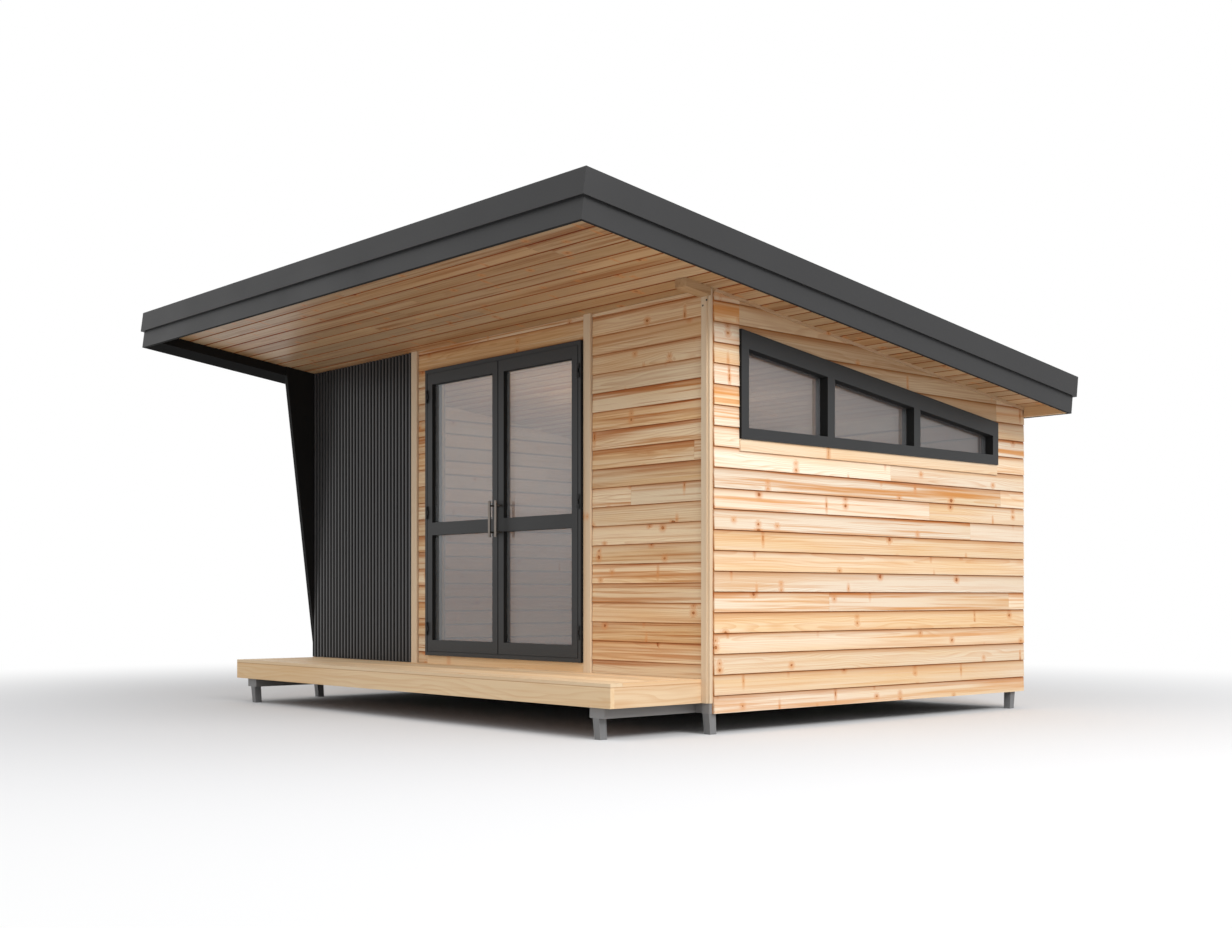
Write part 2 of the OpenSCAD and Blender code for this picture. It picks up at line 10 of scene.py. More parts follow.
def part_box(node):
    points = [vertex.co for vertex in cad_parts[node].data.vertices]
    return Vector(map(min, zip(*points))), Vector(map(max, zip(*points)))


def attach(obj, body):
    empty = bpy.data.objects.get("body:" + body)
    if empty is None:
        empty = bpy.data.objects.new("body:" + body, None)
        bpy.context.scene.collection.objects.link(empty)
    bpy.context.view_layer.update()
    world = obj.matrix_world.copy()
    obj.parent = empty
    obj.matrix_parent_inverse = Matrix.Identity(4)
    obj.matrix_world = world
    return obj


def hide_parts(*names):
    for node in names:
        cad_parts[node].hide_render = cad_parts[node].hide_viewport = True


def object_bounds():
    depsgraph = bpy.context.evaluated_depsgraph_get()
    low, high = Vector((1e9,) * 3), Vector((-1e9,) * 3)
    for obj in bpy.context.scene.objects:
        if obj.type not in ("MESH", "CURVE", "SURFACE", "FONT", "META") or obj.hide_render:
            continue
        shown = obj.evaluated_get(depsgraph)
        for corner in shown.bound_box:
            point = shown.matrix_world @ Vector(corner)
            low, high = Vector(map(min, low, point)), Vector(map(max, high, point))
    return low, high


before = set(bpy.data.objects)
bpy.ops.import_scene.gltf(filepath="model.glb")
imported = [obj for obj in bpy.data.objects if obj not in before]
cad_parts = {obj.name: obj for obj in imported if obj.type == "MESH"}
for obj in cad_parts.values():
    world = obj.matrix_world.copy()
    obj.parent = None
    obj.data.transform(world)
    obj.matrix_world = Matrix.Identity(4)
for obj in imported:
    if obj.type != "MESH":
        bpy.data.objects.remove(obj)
cad_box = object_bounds()

# Camera, fitted to the photograph: place, turn from looking along +Y, lens and sensor in millimetres, rise of
# the frame, and how far it sees
CAMERA_AT = (8.2412, -7.1108, 0.7966)
CAMERA_TURN = 48.28
CAMERA_LENS = 43.43
CAMERA_SENSOR = 36
CAMERA_SHIFT = 0.1081
CAMERA_REACH = 200

# Lapped siding: pitch and first height of the courses, height of the lowest cut, lap over the board below
SIDE_PITCH = 0.1207
SIDE_FIRST = 0.1045
SIDE_BOTTOM = 0.1214
FRONT_PITCH = 0.1195
FRONT_FIRST = 0.285
LAP = 0.014
LAP_PLAY = 0.0015
# Its thickness at the lower edge, at the top of the open face, in the groove and behind the lap
SIDING_LOW_T = 0.0205
SIDING_TOP_T = 0.0165
SIDING_GROOVE_T = 0.0115
SIDING_LAP_T = 0.008
SIDING_REBATE = 0.0095
# Its lower arris, start of its flat face, height of its groove at the sides and the front, its bottom's rise
SIDING_ARRIS = 0.0015
SIDING_FLAT = 0.005
SIDE_GROOVE = 0.0045
FRONT_GROOVE = 0.0035
GROOVE_RISE = 0.001
# Its darkness, painted shade of the lap above and in part a dark joint: all of the front's, under and
# on the arris, and on the face at distances below the groove
FRONT_SHADE = 0.8
ARRIS_SHADES = (0.8, 0.25)
FACE_SHADES = ((0.036, 0), (0.02, 0.2), (0.01, 0.45), (0, 0.9))

# Soffit, lining and floor boards: pitch, place of one joint along the slope, thickness, bevelled edge
SOFFIT_PITCH = 0.123
SOFFIT_JOINT = -1.8173
SOFFIT_ARRIS = 0.005
LINING_PITCH = 0.116
LINING_T = 0.012
LINING_ARRIS = 0.005
FLOOR_PITCH = 0.12
FLOOR_ARRIS = 0.001

# Deck boards: pitch, gap, rounded edge, and (distance, darkness) up their sides and in from their edges:
# painted shade and dark joints between the boards and above the rim
DECK_PITCH = 0.0932
DECK_GAP = 0.0012
DECK_ARRIS = 0.0015
DECK_SIDE_SHADES = ((0, 0.9), (0.003, 0.5), (0.006, 0))
DECK_TOP_SHADES = ((DECK_ARRIS, 0.3), (0.005, 0))

# Gaps: to the trim boards, to other pieces, from the lining to the frames, between butted ends, side by side
TRIM_GAP = 0.006
FIT = 0.001
LINING_FIT = 0.003
BUTT_GAP = 0.0008
SIDE_GAP = 0.0006

# Lengths of boards, the least end and width that is laid, and the least sliver of a course
WALL_LENGTHS = (1.3, 3.4)
SOFFIT_LENGTHS = (1.6, 4.2)
DECK_LENGTHS = (2.2, 4.6)
FLOOR_LENGTHS = (1.2, 3.0)
LEAST_END = 0.05
LEAST_WIDTH = 0.01
SLIVER = 0.004
# Height up to which courses are laid before the planes cut them
COURSES_TOP = 3

# The log that the boards are sawn from: its length, and the places of boards across and away from its heart
LOG_LENGTH = 60
LOG_ACROSS = (-0.16, 0.16)
LOG_AWAY = (0.03, 0.2)

# Strips in the gaps of the door: distance from the face, play that is left, depth at the meeting edges
SEAL_INSET = 0.003
SEAL_PLAY = 0.002
MEETING_SEAL_D = 0.01

# Screws of the corner post: distances from its left side and below the soffit, size, facets
SCREWS = ((0.014, 0.098), (0.044, 0.07))
SCREW_D = 0.013
SCREW_T = 0.0016
SCREW_BEVEL = 0.001
SCREW_FACETS = 20

# Depth of the ribs of the dark panel
RIB_D = 0.018

# Wood: waves per metre along and across the fibres, cells of the knots per metre, width of a year ring
PATCHES = (0.6, 5, 5)
BROAD_STREAKS = (0.5, 21, 21)
NARROW_STREAKS = (0.9, 62, 62)
FIBRES = (9, 420, 420)
RING_WAVES = (0.9, 7, 7)
KNOT_CELLS = (2.3, 7.5)
KNOT_EDGES = (60, 60, 60)
KNOT_RINGS = (120, 120, 120)
YEAR_RING = 0.0065
# Where most values of a noise lie, and their middle
NOISE_SPAN = (0.3, 0.7)
NOISE_MIDDLE = (0.35, 0.65)
# Values of the noises over which warm wood comes in, and broad and narrow streaks of heart and of pale wood
WARM = (0.45, 0.92)
BROAD_HEART = (0.48, 0.7)
BROAD_PALE = (0.46, 0.3)
NARROW_HEART = (0.5, 0.7)
NARROW_PALE = (0.46, 0.32)
# Two heartwood shares, and the strengths of heart streaks that they give. Narrow streaks have a part of that,
# above a least strength
HEART_STRENGTHS = (0.1, 1.0, 0.25, 1.0)
NARROW_PART = 0.6
NARROW_LEAST = 0.15
# What the hue adds to the warm patches, and the strengths of pale streaks, late wood, fibres and stained wood
HUE_WARMTH = 0.3
BROAD_PALE_MIX = 0.6
NARROW_PALE_MIX = 0.3
LATE_MIX = 0.28
FIBRE_MIX = 0.08
STAIN_MIX = 0.6
# Part of their spread in tone by which boards are lighter, too
LIGHTER = 0.35
# Relief of fibres, late wood and knots, the fibres' change of roughness and values, and roughness in a groove
FIBRE_RELIEF = 0.5
LATE_RELIEF = 0.35
KNOT_RELIEF = 0.6
FIBRE_ROUGHNESS = 0.07
FIBRE_SPAN = (0.2, 0.8)
GROOVE_ROUGHNESS = 0.95

# Year rings: how far they wave, how far a knot pushes them, where in a ring late wood comes and ends
RING_WAVE = 0.06
RING_PUSH = 0.012
LATE_COMES = (0.35, 0.9)
LATE_ENDS = (1.0, 0.93)

# Knots: chances over which one is cut lengthwise, and what its size is divided by for a round and a long one
LONG_KNOTS = (0.55, 0.75)
KNOT_ALONG = (0.85, 1.7)
KNOT_ACROSS = (1.0, 0.45)
# Share of pairs, their distance from the middle, and how much smaller the second one is
PAIRS = 0.25
PAIR_APART = 0.02
SECOND_SMALLER = 0.5
# Radii, wander and fade of the edge, cover, width of the stained wood, tones, and darkness of large knots
KNOT_RADII = (0.0045, 0.014)
KNOT_WANDER = 0.009
KNOT_FADE = (0.002, -0.003)
KNOT_COVER = 0.92
STAIN_W = 0.03
KNOT_TONES = (0.35, 1.05)
LARGE_DARKER = 0.5

# Paint: waves per metre and strength of its unevenness in tone and roughness, waves and height of its grit
PAINT_WAVES = (1.7, 1.7, 1.7)
PAINT_MOTTLE = 0.06
PAINT_ROUGHNESS = 0.05
PAINT_GRIT = (900, 900, 900)
PAINT_GRIT_H = 0.00015
# Range of the cosine over which a face counts as looking in a shaded direction
SHADED = (0.95, 0.985)
# A y before the whole model, and how far before a leaf's face a part juts out
BEFORE_ALL = -9.0
JUTTING = 0.0002
# Painted shade between the ribs: parts of their depth over which the paint darkens. On the ribs: lighter
# tone and roughness
RIB_SHADE_DEPTHS = (0.2, 0.6)
RIB_LIGHTER = 1.15
RIB_ROUGHNESS = (0.28, 0.36)

# Steel and glass: waves per metre, roughness of the steel, strength of the haze and its values
STEEL_LINES = (700, 700, 8)
STEEL_ROUGHNESS = (0.24, 0.4)
GLASS_HAZE = (0.9, 0.9, 0.9)
GLASS_WAVES = (3, 3, 3)
HAZE_MIX = 0.3
HAZE_SPAN = (0.15, 1.15)
# Saw marks of the stained timber, waves per metre, and how much lighter it is on them
SAW_MARKS = (30, 30, 30)
SAWN_LIGHTER = 1.5

# Studio floor: its radius and facets, how far it lies under the legs, where it fades into white, and its
# colour as a bounce and as the camera sees it
FLOOR_RADIUS = 60
FLOOR_FACETS = 96
FLOOR_SINK = 0.0005
FLOOR_FADE = (3.5, 9.0)
FLOOR_BOUNCE = (0.45, 0.44, 0.43, 1)
FLOOR_SEEN = (0.745, 0.75, 0.762, 1)

# Light: level of the surroundings, aim of the lamps, (place, size, power) of each, height of the room's lamp
WORLD_LEVEL = 0.76
LIGHT_AIM = (0, 0, 1.2)
KEY_LIGHT = ((11, -2, 8), 5, 860)
FRONT_LIGHT = ((2, -8, 11), 6, 210)
ROOM_LAMP_H = 1
ROOM_LAMP_SIZE = 1.6
ROOM_LAMP_POWER = 33

# Faces of the wall cores and of the room
CORE_LEFT, ROOM_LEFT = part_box("left_wall")[0].x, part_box("left_wall")[1].x
ROOM_RIGHT, CORE_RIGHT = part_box("right_wall_lower")[0].x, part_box("right_wall_lower")[1].x
CORE_FRONT, ROOM_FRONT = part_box("front_wall_left")[0].y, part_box("front_wall_left")[1].y
ROOM_BACK, CORE_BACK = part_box("back_wall")[0].y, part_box("back_wall")[1].y
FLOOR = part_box("floor")[1].z

# The soffit plane, from the tops of the left and the back wall
SOFFIT_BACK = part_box("back_wall")[1].z
FALL = (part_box("left_wall")[1].z - SOFFIT_BACK) / (ROOM_BACK - ROOM_FRONT)
SLOPE = math.atan(FALL)


def soffit_z(y):
    """Height of the soffit plane at y."""
    return SOFFIT_BACK - (y - ROOM_BACK) * FALL


# Boards

def prism(profile, x0, x1):
    """A closed prism along X with a profile of (y, z, darkness) points."""
    bm = bmesh.new()
    dark = bm.verts.layers.float.new("dark")
    ends = [[bm.verts.new((x, y, z)) for y, z, _ in profile] for x in (x0, x1)]
    for end in ends:
        for v, point in zip(end, profile):
            v[dark] = point[2]
    for i in range(len(profile)):
        j = (i + 1) % len(profile)
        bm.faces.new((ends[0][i], ends[0][j], ends[1][j], ends[1][i]))
    bm.faces.new(ends[0][::-1])
    bm.faces.new(ends[1])
    return bm


def clip(bm, point, normal):
    """Cuts away what lies on the normal's side of a plane, and closes the cut."""
    everything = bm.verts[:] + bm.edges[:] + bm.faces[:]
    cut = bmesh.ops.bisect_plane(
        bm, geom=everything, plane_co=point, plane_no=normal, clear_outer=True, dist=1e-6)
    rim = [e for e in cut["geom_cut"] if isinstance(e, bmesh.types.BMEdge) and e.is_boundary]
    if rim:
        bmesh.ops.holes_fill(bm, edges=rim, sides=0)


class Boards:
    """Boards as closed islands of one mesh. Each keeps its own grain coordinates and its own look."""

    def __init__(self, seed):
        self.rng = random.Random(seed)
        self.points, self.faces, self.grain, self.looks, self.dark = [], [], [], [], []

    def new_look(self):
        """A place in the log for one board, and its tone, heartwood share and hue."""
        rng = self.rng
        place = Vector((rng.uniform(0, LOG_LENGTH), rng.uniform(*LOG_ACROSS), rng.uniform(*LOG_AWAY)))
        return place, (rng.random(), rng.random(), rng.random())

    def add(self, bm, place, look, cuts=()):
        """One board in its own frame, put in place after it is cut by planes given in the model's frame."""
        back = place.inverted()
        for point, normal in cuts:
            clip(bm, back @ Vector(point), (back.to_3x3() @ Vector(normal)).normalized())
            if len(bm.verts) < 4:
                bm.free()
                return
        bmesh.ops.recalc_face_normals(bm, faces=bm.faces[:])
        base = len(self.points)
        bm.verts.index_update()
        dark = bm.verts.layers.float["dark"]
        for v in bm.verts:
            self.points.append(place @ v.co)
            self.grain.append(v.co + look[0])
            self.looks.append(look[1])
            self.dark.append(v[dark])
        self.faces += [[base + v.index for v in f.verts] for f in bm.faces]
        bm.free()

    def build(self, name, material):
        """Makes the piece, with the attributes that its wood is drawn from."""
        mesh = bpy.data.meshes.new(name)
        mesh.from_pydata(self.points, [], self.faces)
        for attribute, values in (("grain", self.grain), ("look", self.looks)):
            layer = mesh.attributes.new(attribute, "FLOAT_VECTOR", "POINT")
            layer.data.foreach_set("vector", [c for v in values for c in v])
        mesh.attributes.new("dark", "FLOAT", "POINT").data.foreach_set("value", self.dark)
        return piece(name, mesh, material)


def piece(name, mesh, material, body="shed"):
    """Links a mesh as a piece that rides on a body."""
    obj = bpy.data.objects.new(name, mesh)
    bpy.context.scene.collection.objects.link(obj)
    mesh.materials.append(material)
    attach(obj, body)
    return obj


def wall_frame(origin, along, out):
    """Frame of a wall: x runs along it, y is height and z points out of it."""
    columns = (Vector(along), Vector((0, 0, 1)), Vector(out))
    return Matrix([[c[i] for c in columns] + [origin[i]] for i in range(3)] + [[0, 0, 0, 1]])


def below(z):
    """Plane that keeps what lies below a height."""
    return (0, 0, z), (0, 0, 1)


def above(z):
    """Plane that keeps what lies above a height."""
    return (0, 0, z), (0, 0, -1)


def under_soffit(drop):
    """Plane that keeps what lies more than a drop under the soffit."""
    return (0, 0, soffit_z(0) - drop), (0, math.sin(SLOPE), math.cos(SLOPE))


def over_soffit(drop):
    """Plane that keeps what lies less than a drop under the soffit."""
    return (0, 0, soffit_z(0) - drop), (0, -math.sin(SLOPE), -math.cos(SLOPE))


def window_drop():
    """How far the top of the side window lies below the soffit, straight down."""
    lo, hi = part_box("window_rails")
    return soffit_z(lo.y) - hi.z


def verge_drop():
    """How far the boxed verge reaches below the soffit, straight down."""
    lo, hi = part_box("left_verge")
    depth, height = hi.y - lo.y, hi.z - lo.z
    cos, sin = math.cos(SLOPE), math.sin(SLOPE)
    thickness = (height * cos - depth * sin) / (cos * cos - sin * sin)
    return thickness / cos


def runs(rng, start, end, lengths, whole=0.0):
    """Board ends along a course from start to end. Some courses are one whole board."""
    if rng.random() < whole:
        return [(start, end)]
    shortest, longest = lengths
    cuts = [start - rng.uniform(0, longest - shortest)]
    while cuts[-1] < end:
        cuts.append(cuts[-1] + rng.uniform(shortest, longest))
    found = []
    for a, b in zip(cuts, cuts[1:]):
        a, b = max(a, start), min(b, end)
        if b - a > LEAST_END:
            found.append([a, b])
        elif found:
            found[-1][1] = b
    found[0][0] = start
    return found


def reaches(wall, z0, z1, x0, x1, planes):
    """True if some of a row between two heights lies inside all the planes."""
    corners = [wall @ Vector((x, z, 0)) for x in (x0, x1) for z in (z0, z1)]
    return all(
        any((c - Vector(point)).dot(Vector(normal)) < -SLIVER for c in corners)
        for point, normal in planes)


def courses(boards, wall, bays, first, pitch, profile, whole):
    """Rows of boards over the bays of a wall. A bay is (start, end, planes that limit it)."""
    height = max(point[0] for point in profile)
    start = min(b[0] for b in bays)
    end = max(b[1] for b in bays)
    row = first
    while row < COURSES_TOP:
        place = wall @ Matrix.Translation((0, row, 0))
        for a, b in runs(boards.rng, start, end, WALL_LENGTHS, whole):
            look = boards.new_look()
            for bay_start, bay_end, planes in bays:
                x0, x1 = max(a + BUTT_GAP / 2, bay_start), min(b - BUTT_GAP / 2, bay_end)
                if x1 - x0 > SLIVER and reaches(wall, row, row + height, x0, x1, planes):
                    boards.add(prism(profile, x0, x1), place, look, planes)
        row += pitch


def siding_profile(pitch, shade, groove):
    """Bevelled board with a groove over its face and a rebate behind its lower edge.

    Its points are (height, depth, darkness). Near the groove it is darker: painted shade of the lap
    above, and a dark joint in the groove."""
    top = pitch - groove
    height = pitch + LAP
    lap = LAP + LAP_PLAY
    lean = (SIDING_LOW_T - SIDING_TOP_T) / top
    shades = [(SIDING_FLAT, 0)] + [(top - away, dark) for away, dark in FACE_SHADES]
    face = [(z, SIDING_LOW_T - z * lean, shade * dark) for z, dark in shades]
    under, arris = ARRIS_SHADES
    return [
        (0, SIDING_REBATE, shade), (0, SIDING_LOW_T - SIDING_ARRIS, under * shade),
        (SIDING_ARRIS, SIDING_LOW_T, arris * shade), *face,
        (top + GROOVE_RISE, SIDING_GROOVE_T, shade), (height, SIDING_LAP_T, shade),
        (height, 0, 1), (lap, 0, 1), (lap, SIDING_REBATE, 1)]


def bevelled_profile(width, thickness, arris, up=True, shade=0.6):
    """Board from 0 to width with bevelled long edges on its showing face, which is at thickness, or at 0."""
    soft = arris * 2
    # Sides and arrises are darker: painted shade in the joints, and dark joints
    points = [
        (0, 0, 1), (0, thickness - arris, 1), (arris, thickness, shade), (soft, thickness, 0),
        (width - soft, thickness, 0), (width - arris, thickness, shade),
        (width, thickness - arris, 1), (width, 0, 1)]
    return points if up else [(y, thickness - z, d) for y, z, d in reversed(points)]


def deck_profile(width, thickness):
    """Deck board with soft edges, darker above the rim and at the arrises: painted shade, dark joints."""
    left = [(0, z, d) for z, d in (*DECK_SIDE_SHADES, (thickness - DECK_ARRIS, 0))]
    left += [(y, thickness, d) for y, d in DECK_TOP_SHADES]
    return left + [(width - y, z, d) for y, z, d in reversed(left)]


def make_siding(pine, front_pine, head_shade_pine):
    """Lapped boards on the four walls, round the window, the door and the trims."""
    post_lo, post_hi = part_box("corner_post")
    window_lo, window_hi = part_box("window_rails")
    apron_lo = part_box("window_apron")[0]
    wing_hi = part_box("left_wing")[1]
    frieze_lo, frieze_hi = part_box("frieze_board")
    trim_left, trim_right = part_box("door_trim_left")[1].x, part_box("door_trim_right")
    jamb_lo, jamb_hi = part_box("door_frame_jambs")
    end = CORE_BACK + SIDING_LOW_T

    bottom, over_deck, under_deck = above(SIDE_BOTTOM), above(FLOOR + FIT), below(FLOOR - FIT)
    soffit = under_soffit(FIT)
    frieze = under_soffit(soffit_z(frieze_hi.y) - frieze_lo.z + FIT)
    verge = under_soffit(verge_drop() + FIT)

    right = wall_frame((CORE_RIGHT, 0, 0), (0, 1, 0), (1, 0, 0))
    front = wall_frame((0, CORE_FRONT, 0), (1, 0, 0), (0, -1, 0))
    left = wall_frame((CORE_LEFT, 0, 0), (0, -1, 0), (-1, 0, 0))
    back = wall_frame((0, CORE_BACK, 0), (-1, 0, 0), (0, 1, 0))

    side_rows = (SIDE_FIRST, SIDE_PITCH, siding_profile(SIDE_PITCH, 1, SIDE_GROOVE))
    front_rows = (FRONT_FIRST, FRONT_PITCH, siding_profile(FRONT_PITCH, FRONT_SHADE, FRONT_GROOVE))

    # Piece, seed, material, wall, rows, share of courses in one board, bays
    sidings = (
        ("siding_right", 11, pine, right, side_rows, 0.55, [
            (post_hi.y, window_lo.y - FIT, [bottom, frieze]),
            (window_lo.y - FIT, window_hi.y + FIT, [bottom, below(apron_lo.z - FIT)]),
            (window_hi.y + FIT, end, [bottom, frieze])]),
        # Boards over the window take the head wood, darker as painted shade under the eave
        ("siding_over_window", 16, head_shade_pine, right, side_rows, 1, [
            (window_lo.y - FIT, window_hi.y + FIT, [over_soffit(window_drop() - FIT), frieze])]),
        ("siding_front", 12, front_pine, front, front_rows, 0.8, [
            (trim_left + TRIM_GAP, jamb_lo.x - FIT, [over_deck, soffit]),
            (jamb_lo.x - FIT, trim_right[0].x, [above(jamb_hi.z + FIT), soffit]),
            (trim_right[1].x + TRIM_GAP, post_lo.x, [over_deck, soffit])]),
        ("siding_left", 13, pine, left, side_rows, 0.5, [
            (-end, -wing_hi.y - FIT, [bottom, verge]),
            (-wing_hi.y - FIT, -CORE_FRONT + SIDING_LOW_T, [bottom, under_deck])]),
        ("siding_corner", 15, pine, front, side_rows, 1, [
            (CORE_LEFT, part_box("deck_rim_front")[0].x, [bottom, under_deck])]),
        ("siding_back", 14, pine, back, side_rows, 0.1, [
            (-CORE_RIGHT, -CORE_LEFT, [bottom, soffit])]),
    )
    for name, seed, material, wall, rows, whole, bays in sidings:
        boards = Boards(seed)
        courses(boards, wall, bays, *rows, whole)
        boards.build(name, material)


def slope_frame():
    """Frame on the soffit plane: x runs along the building, y down the slope and z square to it."""
    return Matrix.Translation((0, 0, soffit_z(0))) @ Matrix.Rotation(-SLOPE, 4, "X")


def make_soffit(pine):
    """Grooved boards along the building that form the soffit and the ceiling."""
    lo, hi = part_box("soffit")
    place = slope_frame()
    back = place.inverted()
    y_low = (back @ Vector((0, lo.y, soffit_z(lo.y)))).y
    y_high = (soffit_z(0) - lo.z) / math.sin(SLOPE)
    thickness = (back @ Vector((0, lo.y, hi.z))).z
    boards = Boards(seed=21)
    joints = [y_low]
    joint = SOFFIT_JOINT - math.floor((SOFFIT_JOINT - y_low) / SOFFIT_PITCH) * SOFFIT_PITCH
    while joint < y_high:
        if joint - joints[-1] > LEAST_WIDTH:
            joints.append(joint)
        joint += SOFFIT_PITCH
    for y, end in zip(joints, joints[1:] + [y_high]):
        width = end - y - SIDE_GAP
        arris = min(SOFFIT_ARRIS, width / 3)
        # Painted shade and dark joints in the soffit's grooves
        profile = bevelled_profile(width, thickness, arris, up=False, shade=0.9)
        for a, b in runs(boards.rng, lo.x, hi.x, SOFFIT_LENGTHS, whole=0.25):
            bm = prism(profile, a + BUTT_GAP / 2, b - BUTT_GAP / 2)
            boards.add(bm, place @ Matrix.Translation((0, y, 0)), boards.new_look())
    obj = boards.build("soffit_boards", pine)
    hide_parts("soffit")


def make_deck(pine):
    """Tight deck boards along the front, between a board at each end."""
    lo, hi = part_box("deck_boards")
    boards = Boards(seed=31)
    thickness = hi.z - lo.z
    count = round((hi.y - lo.y) / DECK_PITCH)
    pitch = (hi.y - lo.y + DECK_GAP) / count
    width = pitch - DECK_GAP
    profile = deck_profile(width, thickness)
    for i in range(count):
        place = Matrix.Translation((0, lo.y + i * pitch, lo.z))
        inner = (lo.x, hi.x) if i == 0 else (lo.x + pitch, hi.x - pitch)
        for a, b in runs(boards.rng, *inner, DECK_LENGTHS, whole=0.5 if i else 1):
            ends = (BUTT_GAP / 2 if a > lo.x else 0, BUTT_GAP / 2 if b < hi.x else 0)
            boards.add(prism(profile, a + ends[0], b - ends[1]), place, boards.new_look())
    for right in (lo.x + width, hi.x):
        place = Matrix.Translation((right, lo.y, lo.z)) @ Matrix.Rotation(math.radians(90), 4, "Z")
        boards.add(prism(profile, pitch, hi.y - lo.y), place, boards.new_look())
    obj = boards.build("deck_planks", pine)
    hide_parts("deck_boards")


def make_lining(pine):
    """Boards on the four walls of the room, round the door and the window."""
    profile = bevelled_profile(LINING_PITCH - SIDE_GAP, LINING_T, LINING_ARRIS)
    window_lo, window_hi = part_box("window_rails")
    jamb_lo, jamb_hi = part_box("door_frame_jambs")
    first = FLOOR + LINING_T
    floor, soffit = above(first), under_soffit(FIT)
    boards = Boards(seed=41)
    fit, corner = LINING_FIT, LINING_T
    walls = [
        (wall_frame((0, ROOM_BACK, 0), (1, 0, 0), (0, -1, 0)),
         [(ROOM_LEFT, ROOM_RIGHT, [floor, soffit])]),
        (wall_frame((ROOM_LEFT, 0, 0), (0, 1, 0), (1, 0, 0)),
         [(ROOM_FRONT + corner, ROOM_BACK - corner, [floor, soffit])]),
        (wall_frame((ROOM_RIGHT, 0, 0), (0, -1, 0), (-1, 0, 0)), [
            (-ROOM_BACK + corner, -window_hi.y - fit, [floor, soffit]),
            (-window_hi.y - fit, -window_lo.y + fit, [floor, below(window_lo.z - fit)]),
            (-window_hi.y - fit, -window_lo.y + fit, [over_soffit(window_drop() - fit), soffit]),
            (-window_lo.y + fit, -ROOM_FRONT - corner, [floor, soffit])]),
        (wall_frame((0, ROOM_FRONT, 0), (-1, 0, 0), (0, 1, 0)), [
            (-ROOM_RIGHT, -jamb_hi.x - fit, [floor, soffit]),
            (-jamb_hi.x - fit, -jamb_lo.x + fit, [above(jamb_hi.z + fit), soffit]),
            (-jamb_lo.x + fit, -ROOM_LEFT, [floor, soffit])]),
    ]
    for wall, bays in walls:
        courses(boards, wall, bays, first, LINING_PITCH, profile, whole=0.4)
    boards.build("wall_lining", pine)


def make_floor_boards(pine):
    """Boards on the floor of the room."""
    profile = bevelled_profile(FLOOR_PITCH - SIDE_GAP, LINING_T, FLOOR_ARRIS)
    boards = Boards(seed=42)
    before_wall = [((0, ROOM_BACK, 0), (0, 1, 0))]
    y = ROOM_FRONT
    while y < ROOM_BACK:
        place = Matrix.Translation((0, y, FLOOR))
        for a, b in runs(boards.rng, ROOM_LEFT, ROOM_RIGHT, FLOOR_LENGTHS):
            bm = prism(profile, a + BUTT_GAP / 2, b - BUTT_GAP / 2)
            boards.add(bm, place, boards.new_look(), before_wall)
        y += FLOOR_PITCH
    boards.build("floor_boards", pine)


# Small parts

def add_box(bm, lo, hi):
    """A closed box between two corners."""
    middle = [(a + b) / 2 for a, b in zip(lo, hi)]
    size = Matrix.Diagonal([b - a for a, b in zip(lo, hi)] + [1])
    bmesh.ops.create_cube(bm, size=1, matrix=Matrix.Translation(middle) @ size)


def solid(name, boxes, material, body="shed"):
    """One piece of closed boxes."""
    bm = bmesh.new()
    for lo, hi in boxes:
        add_box(bm, lo, hi)
    mesh = bpy.data.meshes.new(name)
    bm.to_mesh(mesh)
    bm.free()
    return piece(name, mesh, material, body)


def leaf_box(side):
    """Corners of a door leaf without its hinges."""
    stiles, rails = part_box(side + "_leaf_stiles"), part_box(side + "_leaf_rails")
    meeting = stiles[1].x - rails[1].x if side == "left" else rails[0].x - stiles[0].x
    return rails[0] - Vector((meeting, 0, 0)), rails[1] + Vector((meeting, 0, 0))


def make_seals(material):
    """Strips in the gaps round the door leaves: on the frame, and on the two meeting edges."""
    left, right = leaf_box("left"), leaf_box("right")
    x0, x1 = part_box("door_frame_head")[0].x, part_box("door_frame_head")[1].x
    gap = left[0].x - x0
    z0, z1 = left[0].z - gap, left[1].z + gap
    y0, y1 = left[0].y + SEAL_INSET, left[1].y - SEAL_INSET
    deep = gap - SEAL_PLAY
    solid("frame_seal", [
        ((x0, y0, z0), (x0 + deep, y1, z1)),
        ((x1 - deep, y0, z0), (x1, y1, z1)),
        ((x0 + deep, y0, z1 - deep), (x1 - deep, y1, z1)),
        ((x0 + deep, y0, z0), (x1 - deep, y1, z0 + deep)),
    ], material)
    half = (right[0].x - left[1].x - SEAL_PLAY) / 2
    front = y0 + MEETING_SEAL_D
    a, b = left[1].x, right[0].x
    solid("left_meeting_seal", [((a, y0, left[0].z), (a + half, front, left[1].z))],
          material, "left_door")
    solid("right_meeting_seal", [((b - half, y0, right[0].z), (b, front, right[1].z))],
          material, "right_door")


def make_screws(material):
    """Screw heads near the top of the corner post."""
    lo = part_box("corner_post")[0]
    radius = SCREW_D / 2
    bm = bmesh.new()
    for across, down in SCREWS:
        at = Vector((lo.x + across, lo.y, soffit_z(lo.y) - down))
        turn = Matrix.Translation(at) @ Matrix.Rotation(math.radians(90), 4, "X")
        bmesh.ops.create_cone(
            bm, cap_ends=True, segments=SCREW_FACETS, radius1=radius, radius2=radius - SCREW_BEVEL,
            depth=SCREW_T, matrix=turn)
    mesh = bpy.data.meshes.new("post_screws")
    bm.to_mesh(mesh)
    bm.free()
    piece("post_screws", mesh, material)


# Materials

def srgb(r, g, b):
    """Linear colour of three display values from 0 to 255."""
    return tuple(
        c / 12.92 if c <= 0.04045 else ((c + 0.055) / 1.055) ** 2.4 for c in (r / 255, g / 255, b / 255)
    ) + (1,)


def brighter(colour, factor):
    """A linear colour times a factor, up to white."""
    return tuple(min(1, c * factor) for c in colour[:3]) + (1,)


